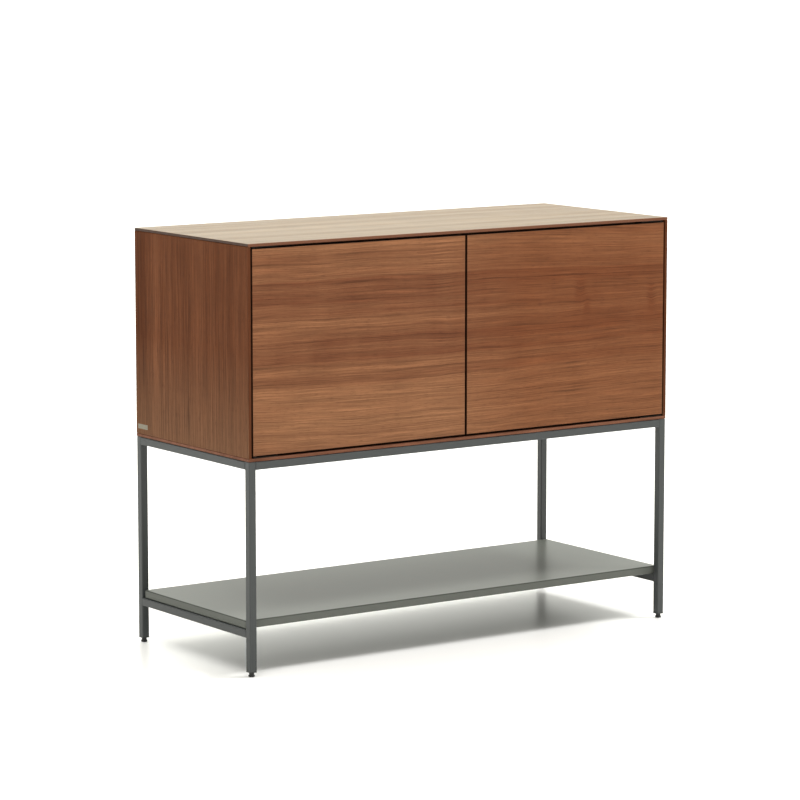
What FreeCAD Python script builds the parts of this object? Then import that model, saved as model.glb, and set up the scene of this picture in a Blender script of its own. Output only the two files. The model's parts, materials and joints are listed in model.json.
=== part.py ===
import FreeCAD, Part
import os
import Sketcher

# Two-door sideboard: a slim veneered cabinet on a welded square-tube frame
# with a folded sheet-steel shelf below. Millimetres, +Z up, the front faces -Y.
# The origin is on the floor, under the middle of the cabinet.

os.makedirs("parts", exist_ok=True)
doc = FreeCAD.newDocument("sideboard")
sheet = doc.addObject("Spreadsheet::Sheet", "dims")


class Size:
    """A length that knows its number and the sheet expression behind it."""

    def __init__(self, value, text):
        self.value = float(value)
        self.text = text

    def __add__(self, other):
        return joined(self, "+", other)

    def __sub__(self, other):
        return joined(self, "-", other)

    def __mul__(self, other):
        return joined(self, "*", other)

    def __truediv__(self, other):
        return joined(self, "/", other)

    def __radd__(self, other):
        return joined(other, "+", self)

    def __neg__(self):
        return Size(-self.value, "(-" + self.text + ")")


def as_size(number):
    if isinstance(number, Size):
        return number
    return Size(number, repr(float(number)))


def joined(left, sign, right):
    a, b = as_size(left), as_size(right)
    results = {
        "+": a.value + b.value,
        "-": a.value - b.value,
        "*": a.value * b.value,
    }
    value = a.value / b.value if sign == "/" else results[sign]
    return Size(value, "(" + a.text + " " + sign + " " + b.text + ")")


def size(alias, value):
    """Writes one driving dimension into the sheet and returns it."""
    size.row += 1
    cell = "B%d" % size.row
    sheet.set("A%d" % size.row, alias)
    sheet.set(cell, repr(float(value)))
    sheet.setAlias(cell, alias)
    return Size(value, "dims." + alias)


size.row = 0

# Whole object
overall_width = size("overall_width", 975)
overall_depth = size("overall_depth", 400)
overall_height = size("overall_height", 800)
frame_height = size("frame_height", 400)
seat_gap = size("seat_gap", 0.8)

# Cabinet shell and the inner carcass that forms the door rebate
shell = size("shell_thickness", 5.5)
liner = size("liner_thickness", 12)
rebate_depth = size("rebate_depth", 22)
back_thickness = size("back_thickness", 6)
divider_thickness = size("divider_thickness", 18)
edge_easing = size("edge_easing", 0.8)
joint_groove = size("joint_groove", 1)

# Doors
door_thickness = size("door_thickness", 18)
side_gap = size("side_gap", 3.5)
end_gap = size("end_gap", 4.4)
middle_gap = size("middle_gap", 4.4)
door_easing = size("door_easing", 1)

# Inner shelves on pins
board_thickness = size("board_thickness", 16)
board_end_play = size("board_end_play", 1.5)
board_front_inset = size("board_front_inset", 12)
board_back_inset = size("board_back_inset", 10)
pin_radius = size("pin_radius", 2.5)
pin_seat = size("pin_seat", 7.5)
pin_reach = size("pin_reach", 8)
pin_collar_radius = size("pin_collar_radius", 4)
pin_collar = size("pin_collar", 1.2)
pin_column_inset = size("pin_column_inset", 37)
pin_pitch = size("pin_pitch", 32)
pin_hole_extra = size("pin_hole_extra", 0.5)
pin_rows = 7

# Dowels between the liners
dowel_radius = size("dowel_radius", 3)
dowel_short_end = size("dowel_short_end", 7)
dowel_long_end = size("dowel_long_end", 17)
dowel_inset = size("dowel_inset", 50)
dowel_end_play = size("dowel_end_play", 0.5)

# Pivot hinges at the hinge-side corners of the doors
pivot_inset = size("pivot_inset", 4.5)
pivot_radius = size("pivot_radius", 2)
running_play = size("running_play", 0.05)
bracket_thickness = size("bracket_thickness", 2)
bracket_length = size("bracket_length", 50)
bracket_drop = size("bracket_drop", 10)
eye_radius = size("eye_radius", 3.5)
leaf_thickness = size("leaf_thickness", 2.5)
leaf_length = size("leaf_length", 46)
leaf_width = size("leaf_width", 11)
pin_overrun = size("pin_overrun", 1)

# Push latches on the divider
latch_width = size("latch_width", 16)
latch_height = size("latch_height", 16)
latch_length = size("latch_length", 60)
latch_setback = size("latch_setback", 2)
latch_below_top = size("latch_below_top", 60)
latch_flange = size("latch_flange", 3.5)
latch_ear = size("latch_ear", 10)
latch_ear_length = size("latch_ear_length", 12)
plunger_radius = size("plunger_radius", 4)
plunger_length = size("plunger_length", 50)
plunger_play = size("plunger_play", 0.2)
plunger_travel = size("plunger_travel", 3)
strike_radius = size("strike_radius", 7)
strike_thickness = size("strike_thickness", 1.2)
contact_gap = size("contact_gap", 0.3)
plunger_collar_radius = size("plunger_collar_radius", 5)
plunger_collar = size("plunger_collar", 3)
latch_guide = size("latch_guide", 8)
chamber_radius = size("chamber_radius", 5.5)
spring_wall = size("spring_wall", 1)
latch_end_wall = size("latch_end_wall", 2)

# Screws: shank radius, length, head radius and head height
screw_radius = size("screw_radius", 1.5)
screw_length = size("screw_length", 12)
screw_head_radius = size("screw_head_radius", 2.9)
screw_head = size("screw_head", 1.4)
screw_cross_length = size("screw_cross_length", 3.2)
screw_cross_width = size("screw_cross_width", 0.8)
screw_cross_depth = size("screw_cross_depth", 1)
frame_screw_radius = size("frame_screw_radius", 2)
frame_screw_length = size("frame_screw_length", 18)
frame_screw_head_radius = size("frame_screw_head_radius", 4)
frame_screw_head = size("frame_screw_head", 2.5)
frame_screw_socket = size("frame_screw_socket_radius", 1.6)
frame_screw_socket_depth = size("frame_screw_socket_depth", 1.6)
tray_bolt_radius = size("tray_bolt_radius", 2.5)
tray_bolt_length = size("tray_bolt_length", 14)
tray_bolt_head_radius = size("tray_bolt_head_radius", 4.25)
tray_bolt_head = size("tray_bolt_head", 3.5)
tray_bolt_socket = size("tray_bolt_socket_radius", 2.3)
tray_bolt_socket_depth = size("tray_bolt_socket_depth", 2.4)
tray_nut_radius = size("tray_nut_radius", 4.5)
tray_nut_height = size("tray_nut_height", 6)

# Steel frame
tube = size("tube_side", 15)
tube_wall = size("tube_wall", 1.5)
tube_radius = size("tube_radius", 2)
lower_rail_top = size("lower_rail_top", 87)

# Folded steel shelf
tray_edge = size("tray_edge_height", 15.5)
sheet_steel = size("sheet_steel", 1.5)
tray_return = size("tray_return", 24)
tray_bend = size("tray_bend_radius", 2)
tray_side_inset = size("tray_side_inset", 3.5)
tray_leg_gap = size("tray_leg_gap", 4)
tab_length = size("tab_length", 20)
tab_width = size("tab_width", 14)
tab_thickness = size("tab_thickness", 3)
tab_from_leg = size("tab_from_leg", 28)
tray_seam = size("tray_seam", 0.5)
tray_seam_inset = size("tray_seam_inset", 3)
frame_tab_reach = size("frame_tab_reach", 24)
frame_tab_margin = size("frame_tab_margin", 9)

# Feet
foot_pad_radius = size("foot_pad_radius", 6)
foot_pad_height = size("foot_pad_height", 4)
foot_neck_radius = size("foot_neck_radius", 4.75)
foot_neck_height = size("foot_neck_height", 4.5)
foot_edge_round = size("foot_edge_round", 1)
stud_radius = size("stud_radius", 3)
stud_length = size("stud_length", 28)
stud_socket = size("stud_socket", 2)
plug_flange = size("plug_flange", 1.5)
plug_flange_inset = size("plug_flange_inset", 0.3)
plug_length = size("plug_length", 22)
plug_play = size("plug_play", 0.1)

# Bare metal plate on the left side
plate_length = size("plate_length", 35)
plate_height = size("plate_height", 9)
plate_thickness = size("plate_thickness", 0.8)
plate_from_back = size("plate_from_back", 6)
plate_above_base = size("plate_above_base", 15.6)

# Clearances for what is pushed or glued into place, and the overrun of cuts
fit_play = size("fit_play", 0.1)
overrun = size("overrun", 5)


# Where the main faces lie
half_width = overall_width / 2
half_depth = overall_depth / 2
front_y = -half_depth
cabinet_base = frame_height + seat_gap
shelf_underside = lower_rail_top + seat_gap
lip_x = half_width - shell
liner_x = lip_x - liner
rebate_y = front_y + rebate_depth
back_y = half_depth - back_thickness
shell_low = cabinet_base + shell
shell_high = overall_height - shell
bay_low = shell_low + liner
bay_high = shell_high - liner
door_back_y = front_y + door_thickness
door_low = shell_low + end_gap
door_high = shell_high - end_gap
door_edge_x = lip_x - side_gap
pivot_x = door_edge_x - pivot_inset
pivot_y = front_y + pivot_inset

sub_parts = []


def keep(obj, label):
    """Marks an object as a sub-part of the sideboard."""
    obj.Label = label
    sub_parts.append(obj)
    return obj


def bind(obj, prop, length):
    obj.setExpression(prop, as_size(length).text)


def put(obj, x, y, z):
    bind(obj, "Placement.Base.x", x)
    bind(obj, "Placement.Base.y", y)
    bind(obj, "Placement.Base.z", z)


def at(x, y, z):
    return FreeCAD.Vector(as_size(x).value, as_size(y).value, as_size(z).value)


# Solids from plain spans


def block(name, x, y, z):
    """A box between three (low, high) spans."""
    box = doc.addObject("Part::Box", name)
    bind(box, "Length", x[1] - x[0])
    bind(box, "Width", y[1] - y[0])
    bind(box, "Height", z[1] - z[0])
    put(box, x[0], y[0], z[0])
    return box


TURNS = {
    "+z": FreeCAD.Rotation(FreeCAD.Vector(0, 0, 1), FreeCAD.Vector(0, 0, 1)),
    "-z": FreeCAD.Rotation(FreeCAD.Vector(1, 0, 0), 180),
    "+x": FreeCAD.Rotation(FreeCAD.Vector(0, 1, 0), 90),
    "-x": FreeCAD.Rotation(FreeCAD.Vector(0, 1, 0), -90),
    "+y": FreeCAD.Rotation(FreeCAD.Vector(1, 0, 0), -90),
    "-y": FreeCAD.Rotation(FreeCAD.Vector(1, 0, 0), 90),
}


def rod(name, way, x, y, z, radius, length):
    """A cylinder that starts at a point and runs one way."""
    cylinder = doc.addObject("Part::Cylinder", name)
    cylinder.Placement = FreeCAD.Placement(FreeCAD.Vector(), TURNS[way])
    bind(cylinder, "Radius", radius)
    bind(cylinder, "Height", length)
    put(cylinder, x, y, z)
    return cylinder


def fused(name, *pieces):
    union = doc.addObject("Part::MultiFuse", name)
    union.Shapes = list(pieces)
    return union


def less(name, base, tool):
    cut = doc.addObject("Part::Cut", name)
    cut.Base = base
    cut.Tool = tool
    return cut


def grouped(name, pieces):
    group = doc.addObject("Part::Compound", name)
    group.Links = list(pieces)
    return group


def mirrored(name, source):
    """The same piece on the other side of the middle plane."""
    twin = doc.addObject("Part::Mirroring", name)
    twin.Source = source
    twin.Normal = FreeCAD.Vector(1, 0, 0)
    return twin


# Sketches and bodies


def new_body(name):
    return doc.addObject("PartDesign::Body", name)


def origin_plane(body, role):
    return [item for item in body.Origin.OriginFeatures if item.Role == role][0]


def sketch_on(body, role, name, lift=None):
    sketch = body.newObject("Sketcher::SketchObject", name)
    sketch.AttachmentSupport = (origin_plane(body, role), [""])
    sketch.MapMode = "FlatFace"
    if lift is not None:
        bind(sketch, "AttachmentOffset.Base.z", lift)
    return sketch


def pin_point(sketch, shape, end, x, y):
    """Ties a sketch point to the sheet, or to an axis where it lies on one."""
    for kind, axis, length in (("DistanceX", -2, x), ("DistanceY", -1, y)):
        length = as_size(length)
        if length.value == 0:
            sketch.addConstraint(Sketcher.Constraint("PointOnObject", shape, end, axis))
            continue
        rule = Sketcher.Constraint(kind, -1, 1, shape, end, length.value)
        number = sketch.addConstraint(rule)
        sketch.setExpression("Constraints[%d]" % number, length.text)


def outline(sketch, points):
    """A closed outline of straight lines through points in named sizes."""
    spots = [at(x, y, 0) for x, y in points]
    first = sketch.GeometryCount
    count = len(points)
    for index, spot in enumerate(spots):
        sketch.addGeometry(Part.LineSegment(spot, spots[(index + 1) % count]), False)
    for index, (x, y) in enumerate(points):
        following = first + (index + 1) % count
        sketch.addConstraint(
            Sketcher.Constraint("Coincident", first + index, 2, following, 1)
        )
        pin_point(sketch, first + index, 1, x, y)


def rectangle(sketch, x, y):
    outline(sketch, [(x[0], y[0]), (x[1], y[0]), (x[1], y[1]), (x[0], y[1])])


def circle(sketch, x, y, radius):
    radius = as_size(radius)
    ring = Part.Circle(at(x, y, 0), FreeCAD.Vector(0, 0, 1), radius.value)
    shape = sketch.addGeometry(ring, False)
    pin_point(sketch, shape, 3, x, y)
    number = sketch.addConstraint(Sketcher.Constraint("Radius", shape, radius.value))
    sketch.setExpression("Constraints[%d]" % number, radius.text)


def pad(body, sketch, length, name="pad"):
    feature = body.newObject("PartDesign::Pad", name)
    feature.Profile = sketch
    bind(feature, "Length", length)
    sketch.Visibility = False
    return feature


def pocket(body, sketch, length, forward, name="pocket"):
    feature = body.newObject("PartDesign::Pocket", name)
    feature.Profile = sketch
    feature.Reversed = forward
    bind(feature, "Length", length)
    return feature


def edges_that(shape, test):
    """The names of the edges whose middle point passes a test."""
    names = []
    for index, edge in enumerate(shape.Edges):
        middle = edge.valueAt((edge.FirstParameter + edge.LastParameter) / 2)
        if test(middle, edge):
            names.append("Edge%d" % (index + 1))
    return names


def soften(body, base, kind, length, test):
    """A fillet or a chamfer on the edges that pass a test."""
    doc.recompute()
    feature = body.newObject("PartDesign::" + kind, kind.lower())
    feature.Base = (base, edges_that(base.Shape, test))
    bind(feature, "Radius" if kind == "Fillet" else "Size", length)
    body.Tip = feature
    return feature


def board(name, x, y, z):
    """A flat board as a body: its outline drawn on the ground and padded up."""
    body = new_body(name)
    drawing = sketch_on(body, "XY_Plane", name + "_outline")
    rectangle(drawing, (0, x[1] - x[0]), (0, y[1] - y[0]))
    slab = pad(body, drawing, z[1] - z[0])
    put(body, x[0], y[0], z[0])
    return body, slab


def turned(name, profile):
    """A body turned about its own Z axis from a half outline (radius, height)."""
    body = new_body(name)
    drawing = sketch_on(body, "XZ_Plane", name + "_profile")
    outline(drawing, profile)
    spin = body.newObject("PartDesign::Revolution", name + "_turning")
    spin.Profile = drawing
    spin.ReferenceAxis = (drawing, ["V_Axis"])
    spin.Angle = 360
    return body


# Fasteners: each kind is turned once and then repeated in its places


def cross_recess(name, top):
    """The cutter of a cross slot in a head whose top is at a height."""
    depth = (top - screw_cross_depth, top + overrun)
    long_way = (-screw_cross_length / 2, screw_cross_length / 2)
    short_way = (-screw_cross_width / 2, screw_cross_width / 2)
    arms = [block(name + "_arm_x", long_way, short_way, depth)]
    arms.append(block(name + "_arm_y", short_way, long_way, depth))
    return fused(name, *arms)


def hex_socket(radius, depth):
    """Makes the cutter of a six-sided socket, sized across its corners."""

    def cutter(name, top):
        prism = doc.addObject("Part::Prism", name)
        prism.Polygon = 6
        bind(prism, "Circumradius", radius)
        bind(prism, "Height", depth + overrun)
        put(prism, 0, 0, top - depth)
        return prism

    return cutter


def fastener(name, shank_radius, length, head_radius, head_height, sunk, recess):
    """A screw, tip down, and the tool that drills its hole."""
    neck = length - head_height
    profile = [(0, 0), (shank_radius, shank_radius), (shank_radius, neck)]
    if not sunk:
        profile.append((head_radius, neck))
    profile += [(head_radius, length), (0, length)]
    bore = shank_radius + fit_play
    mouth = head_radius + fit_play
    cut = [(0, 0), (bore, 0), (bore, neck)]
    if not sunk:
        cut.append((mouth, neck))
    cut += [(mouth, length), (mouth, length + overrun), (0, length + overrun)]
    screw = less(name, turned(name + "_blank", profile), recess(name + "_recess", length))
    return screw, turned(name + "_drill", cut)


def repeated(name, master, places, length):
    """Copies of one piece, each with its head at a place and facing one way."""
    copies = []
    for x, y, z, way in places:
        turn = TURNS[way]
        start = at(x, y, z) - turn.multVec(at(0, 0, length))
        copy = master.Shape.copy()
        copy.Placement = FreeCAD.Placement(start, turn)
        copies.append(copy)
    group = doc.addObject("Part::Feature", name)
    group.Shape = Part.Compound(copies)
    return group


wood_screw, wood_drill = fastener(
    "wood_screw",
    screw_radius,
    screw_length,
    screw_head_radius,
    screw_head,
    True,
    cross_recess,
)
frame_screw, frame_drill = fastener(
    "frame_screw",
    frame_screw_radius,
    frame_screw_length,
    frame_screw_head_radius,
    frame_screw_head,
    False,
    hex_socket(frame_screw_socket, frame_screw_socket_depth),
)
shelf_bolt, bolt_drill = fastener(
    "shelf_bolt",
    tray_bolt_radius,
    tray_bolt_length,
    tray_bolt_head_radius,
    tray_bolt_head,
    False,
    hex_socket(tray_bolt_socket, tray_bolt_socket_depth),
)


# Places of the fasteners


def both_sides(places):
    flip = {"+x": "-x", "-x": "+x"}
    return places + [(-x, y, z, flip.get(way, way)) for x, y, z, way in places]


upright_x = [-(lip_x - liner / 2), as_size(0), lip_x - liner / 2]
dowel_y = [rebate_y + dowel_inset, (rebate_y + back_y) / 2, back_y - dowel_inset]
dowel_top = [(x, y, bay_high + dowel_short_end, "+z") for x in upright_x for y in dowel_y]
dowel_base = [(x, y, bay_low - dowel_short_end, "-z") for x in upright_x for y in dowel_y]
dowel_length = dowel_short_end + dowel_long_end

back_screw_share = 0.25
bay_height = bay_high - bay_low
back_screw_z = [
    bay_low + bay_height * back_screw_share,
    bay_high - bay_height * back_screw_share,
]
back_screw_x = lip_x / 2
back_places = [(x, half_depth, z, "+y") for x in upright_x for z in back_screw_z]
back_places += both_sides(
    [
        (back_screw_x, half_depth, shell_high - liner / 2, "+y"),
        (back_screw_x, half_depth, shell_low + liner / 2, "+y"),
    ]
)

bracket_face_y = rebate_y - bracket_thickness
bracket_screw_shares = (0.3, 0.8)
bracket_screw_x = [pivot_x - bracket_length * share for share in bracket_screw_shares]
bracket_drop_share = 0.6
bracket_places = both_sides(
    [
        (x, bracket_face_y, shell_high - bracket_drop * bracket_drop_share, "-y")
        for x in bracket_screw_x
    ]
    + [
        (x, bracket_face_y, shell_low + bracket_drop * bracket_drop_share, "-y")
        for x in bracket_screw_x
    ]
)

leaf_y = pivot_y - eye_radius + leaf_width / 2
leaf_screw_shares = (0.4, 0.85)
leaf_screw_x = [pivot_x - leaf_length * share for share in leaf_screw_shares]
leaf_places_right = [(x, leaf_y, door_high, "+z") for x in leaf_screw_x]
leaf_places_right += [(x, leaf_y, door_low, "-z") for x in leaf_screw_x]

latch_x = divider_thickness / 2 + latch_width / 2
latch_z = bay_high - latch_below_top
latch_front_y = rebate_y + latch_setback
strike_y = door_back_y + strike_thickness
ear_z = latch_height / 2 + latch_ear / 2
latch_face_x = divider_thickness / 2 + latch_flange
latch_places = both_sides(
    [
        (latch_face_x, latch_front_y + latch_ear_length / 2, latch_z + ear_z, "+x"),
        (
            latch_face_x,
            latch_front_y + latch_length - latch_ear_length / 2,
            latch_z - ear_z,
            "+x",
        ),
    ]
)

frame_screw_share = 0.8
far_x = half_width * frame_screw_share
inner_x = half_width - tube
inner_y = half_depth - tube
frame_tab_x = inner_x - frame_tab_reach + frame_tab_margin
frame_tab_y = inner_y - frame_tab_reach + frame_tab_margin
frame_spots = [(x, y) for x in (-far_x, as_size(0), far_x) for y in (-frame_tab_y, frame_tab_y)]
frame_spots += [(-frame_tab_x, as_size(0)), (frame_tab_x, as_size(0))]
frame_screw_z = cabinet_base - tab_thickness - frame_screw_head
frame_places = [(x, y, frame_screw_z, "-z") for x, y in frame_spots]

tab_mid_x = half_width - tube - tab_width / 2
tab_mid_y = half_depth - tube - tab_from_leg - tab_length / 2
tab_low = shelf_underside - tab_thickness
tab_spots = [(x, y) for x in (-tab_mid_x, tab_mid_x) for y in (-tab_mid_y, tab_mid_y)]
bolt_places = [(x, y, tab_low - tray_bolt_head, "-z") for x, y in tab_spots]

dowel = turned(
    "dowel",
    [
        (0, 0),
        (dowel_radius - edge_easing, 0),
        (dowel_radius, edge_easing),
        (dowel_radius, dowel_length - edge_easing),
        (dowel_radius - edge_easing, dowel_length),
        (0, dowel_length),
    ],
)
dowel_drill_length = dowel_length + dowel_end_play * 2
dowel_drill = turned(
    "dowel_drill",
    [
        (0, 0),
        (dowel_radius + fit_play, 0),
        (dowel_radius + fit_play, dowel_drill_length),
        (0, dowel_drill_length),
    ],
)
doc.recompute()

dowel_drill_places = [(x, y, z + dowel_end_play, way) for x, y, z, way in dowel_top]
dowel_drill_places += [(x, y, z - dowel_end_play, way) for x, y, z, way in dowel_base]
dowel_drills = repeated(
    "dowel_drills", dowel_drill, dowel_drill_places, dowel_drill_length
)
back_drills = repeated("back_drills", wood_drill, back_places, screw_length + overrun)
bracket_drills = repeated(
    "bracket_drills", wood_drill, bracket_places, screw_length + overrun
)
latch_drills = repeated("latch_drills", wood_drill, latch_places, screw_length + overrun)
leaf_drills = repeated("leaf_drills", wood_drill, leaf_places_right, screw_length + overrun)
frame_drills = repeated(
    "frame_drills", frame_drill, frame_places, frame_screw_length + overrun
)
bolt_drills = repeated("bolt_drills", bolt_drill, bolt_places, tray_bolt_length + overrun)


# Outer shell: four thin veneered panels with fine grooves where they meet


def ends_across(span, height):
    """Picks the two level edges at the ends of a lid, at one height."""
    near = edge_easing.value / 2

    def test(middle, edge):
        level = abs(middle.z - height) < near
        at_end = middle.x < near or middle.x > span.value - near
        return level and at_end

    return test


def lid(name, z, groove_height, eased_height):
    """A full-size lid, grooved where it meets the sides and eased outside."""
    body, slab = board(name, (-half_width, half_width), (-half_depth, half_depth), z)
    soften(body, slab, "Chamfer", joint_groove, ends_across(overall_width, groove_height))
    if eased_height is not None:
        soften(
            body,
            body.Tip,
            "Fillet",
            edge_easing,
            lambda middle, edge: abs(middle.z - eased_height) < edge_easing.value / 2,
        )
    return body


top_board = lid("top_panel_board", (shell_high, overall_height), 0, shell.value)
keep(top_board, "top_panel")
base_board = lid("bottom_panel_board", (cabinet_base, shell_low), shell.value, None)
keep(less("bottom_panel_drilled", base_board, frame_drills), "bottom_panel")

shell_height = shell_high - shell_low
side_board, side_slab = board(
    "side_board", (lip_x, half_width), (-half_depth, half_depth), (shell_low, shell_high)
)


def outer_ends(middle, edge):
    near = edge_easing.value / 2
    at_end = middle.z < near or middle.z > shell_height.value - near
    return middle.x > shell.value - near and at_end


soften(side_board, side_slab, "Chamfer", joint_groove, outer_ends)
keep(side_board, "side_panel_right")

plate_y = (half_depth - plate_from_back - plate_length, half_depth - plate_from_back)
plate_z = (cabinet_base + plate_above_base, cabinet_base + plate_above_base + plate_height)
plate_seat = block(
    "plate_seat", (-half_width - overrun, -half_width + plate_thickness), plate_y, plate_z
)
keep(less("side_left_cut", mirrored("side_left", side_board), plate_seat), "side_panel_left")
plate_span = (-half_width, -half_width + plate_thickness)
keep(block("plate", plate_span, plate_y, plate_z), "name_plate")


# Inner carcass: liners set back behind the doors, a divider and the back

liner_y = (rebate_y, back_y)
top_liner = block("top_liner_board", (-lip_x, lip_x), liner_y, (bay_high, shell_high))
top_holes = grouped("top_liner_holes", [dowel_drills, back_drills, bracket_drills])
keep(less("top_liner_drilled", top_liner, top_holes), "top_liner")
bottom_liner = block("bottom_liner_board", (-lip_x, lip_x), liner_y, (shell_low, bay_low))
bottom_holes = grouped(
    "bottom_liner_holes", [dowel_drills, back_drills, bracket_drills, frame_drills]
)
keep(less("bottom_liner_drilled", bottom_liner, bottom_holes), "bottom_liner")

board_low = (bay_low + bay_high) / 2 - board_thickness / 2
pin_z = board_low - pin_radius
first_pin_z = pin_z - pin_pitch * (pin_rows - 1) / 2
pin_y = [rebate_y + pin_column_inset, back_y - pin_column_inset]
pin_hole_depth = pin_seat + pin_hole_extra
pin_row_span = pin_pitch * (pin_rows - 1)


def pin_holes(body, name, face_x, forward):
    """Two columns of shelf pin holes, bored from one face of an upright."""
    drawing = sketch_on(body, "YZ_Plane", name, face_x)
    for y in pin_y:
        circle(drawing, y - rebate_y, first_pin_z - bay_low, pin_radius + fit_play)
    bore = pocket(body, drawing, pin_hole_depth, forward, name + "_bore")
    doc.recompute()
    row = body.newObject("PartDesign::LinearPattern", name + "_rows")
    row.Originals = [bore]
    row.Direction = (drawing, ["V_Axis"])
    bind(row, "Length", pin_row_span)
    row.Occurrences = pin_rows
    body.Tip = row
    doc.recompute()


upright_z = (bay_low, bay_high)
upright_right, _ = board("upright_right", (liner_x, lip_x), liner_y, upright_z)
pin_holes(upright_right, "right_pin_holes", None, True)
right_holes = grouped("right_liner_holes", [dowel_drills, back_drills])
side_liner_right = less("right_liner_drilled", upright_right, right_holes)
keep(side_liner_right, "side_liner_right")
keep(mirrored("left_liner", side_liner_right), "side_liner_left")

divider_x = (-divider_thickness / 2, divider_thickness / 2)
divider, _ = board("divider_board", divider_x, liner_y, upright_z)
pin_holes(divider, "divider_left_holes", None, True)
pin_holes(divider, "divider_right_holes", divider_thickness, False)
divider_holes = grouped("divider_holes", [dowel_drills, back_drills, latch_drills])
keep(less("divider_drilled", divider, divider_holes), "centre_divider")

back_span = (back_y, half_depth)
back_board = block("back_board", (-lip_x, lip_x), back_span, (shell_low, shell_high))
keep(less("back_drilled", back_board, back_drills), "back_panel")
keep(repeated("back_screw_set", wood_screw, back_places, screw_length), "back_screws")
keep(repeated("dowel_set", dowel, dowel_top + dowel_base, dowel_length), "carcass_dowels")


# Inner shelves, each on four pins

bay_inner_x = divider_thickness / 2
shelf_x = (bay_inner_x + board_end_play, liner_x - board_end_play)
shelf_y = (rebate_y + board_front_inset, back_y - board_back_inset)
shelf_body, shelf_slab = board(
    "inner_board", shelf_x, shelf_y, (board_low, board_low + board_thickness)
)
soften(
    shelf_body,
    shelf_slab,
    "Fillet",
    edge_easing,
    lambda middle, edge: middle.y < edge_easing.value / 2 and edge.Length > board_thickness.value * 2,
)
keep(shelf_body, "inner_shelf_right")
keep(mirrored("inner_board_left", shelf_body), "inner_shelf_left")

pin_length = pin_seat + pin_collar + pin_reach
shelf_pin = turned(
    "shelf_pin",
    [
        (0, 0),
        (pin_radius, 0),
        (pin_radius, pin_reach),
        (pin_collar_radius, pin_reach),
        (pin_collar_radius, pin_reach + pin_collar),
        (pin_radius, pin_reach + pin_collar),
        (pin_radius, pin_length),
        (0, pin_length),
    ],
)
doc.recompute()
pin_places = [(liner_x + pin_seat, y, pin_z, "+x") for y in pin_y]
pin_places += [(bay_inner_x - pin_seat, y, pin_z, "-x") for y in pin_y]
keep(repeated("shelf_pin_set", shelf_pin, both_sides(pin_places), pin_length), "shelf_pins")


# Pivot hinges: an angle bracket on the carcass and a leaf let into the door,
# joined by a pin with a washer between, at the top and bottom of each door


def hinge_parts(name, seat, into, edge):
    """The bracket, pin and washer at one end of the right door.

    seat is the shell face that carries the bracket, into is +1 or -1 towards
    the door, and edge is the door's end.
    """

    def span(start, reach):
        if into > 0:
            return (start, start + reach)
        return (start - reach, start)

    reach_x = (pivot_x - bracket_length, pivot_x)
    flat = block(
        name + "_flat", reach_x, (pivot_y - eye_radius, rebate_y), span(seat, bracket_thickness)
    )
    flange = block(
        name + "_flange",
        reach_x,
        (rebate_y - bracket_thickness, rebate_y),
        span(seat, bracket_drop),
    )
    low = span(seat, bracket_thickness)[0]
    eye = rod(name + "_eye", "+z", pivot_x, pivot_y, low, eye_radius, bracket_thickness)
    bore = rod(
        name + "_bore",
        "+z",
        pivot_x,
        pivot_y,
        low - overrun,
        pivot_radius,
        bracket_thickness + overrun * 2,
    )
    blank = fused(name + "_blank", flat, flange, eye)
    holes = grouped(name + "_holes", [bore, bracket_drills])
    bracket = less(name + "_bracket", blank, holes)

    pin_span = span(seat, end_gap + leaf_thickness + pin_overrun)
    pin = rod(
        name + "_pin", "+z", pivot_x, pivot_y, pin_span[0], pivot_radius, pin_span[1] - pin_span[0]
    )
    washer_seat = seat + bracket_thickness if into > 0 else seat - bracket_thickness
    washer_height = end_gap - bracket_thickness - running_play
    washer_low = span(washer_seat, washer_height)[0]
    disc = rod(name + "_disc", "+z", pivot_x, pivot_y, washer_low, eye_radius, washer_height)
    washer_bore = rod(
        name + "_washer_bore",
        "+z",
        pivot_x,
        pivot_y,
        washer_low - overrun,
        pivot_radius + running_play,
        washer_height + overrun * 2,
    )
    washer = less(name + "_washer", disc, washer_bore)

    leaf_span = span(edge, leaf_thickness)
    leaf_y_span = (pivot_y - eye_radius, pivot_y - eye_radius + leaf_width)
    plate = block(name + "_plate", (pivot_x - leaf_length, pivot_x), leaf_y_span, leaf_span)
    leaf_eye = rod(
        name + "_leaf_eye", "+z", pivot_x, pivot_y, leaf_span[0], eye_radius, leaf_thickness
    )
    leaf_bore = rod(
        name + "_leaf_bore",
        "+z",
        pivot_x,
        pivot_y,
        leaf_span[0] - overrun,
        pivot_radius + running_play,
        leaf_thickness + overrun * 2,
    )
    leaf_holes = grouped(name + "_leaf_holes", [leaf_bore, leaf_drills])
    leaf = less(name + "_leaf", fused(name + "_leaf_blank", plate, leaf_eye), leaf_holes)

    if into > 0:
        recess_span = (edge - overrun, edge + leaf_thickness)
        pocket_span = (edge, edge + leaf_thickness + pin_overrun * 2)
    else:
        recess_span = (edge - leaf_thickness, edge + overrun)
        pocket_span = (edge - leaf_thickness - pin_overrun * 2, edge)
    recess_y = (leaf_y_span[0] - fit_play, leaf_y_span[1] + fit_play)
    recess = block(
        name + "_recess", (pivot_x - leaf_length - fit_play, pivot_x), recess_y, recess_span
    )
    recess_eye = rod(
        name + "_recess_eye",
        "+z",
        pivot_x,
        pivot_y,
        recess_span[0],
        eye_radius + fit_play,
        recess_span[1] - recess_span[0],
    )
    pin_pocket = rod(
        name + "_pin_pocket",
        "+z",
        pivot_x,
        pivot_y,
        pocket_span[0],
        pivot_radius + fit_play,
        pocket_span[1] - pocket_span[0],
    )
    cutter = fused(name + "_cutter", recess, recess_eye, pin_pocket)
    return bracket, pin, washer, leaf, cutter


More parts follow.
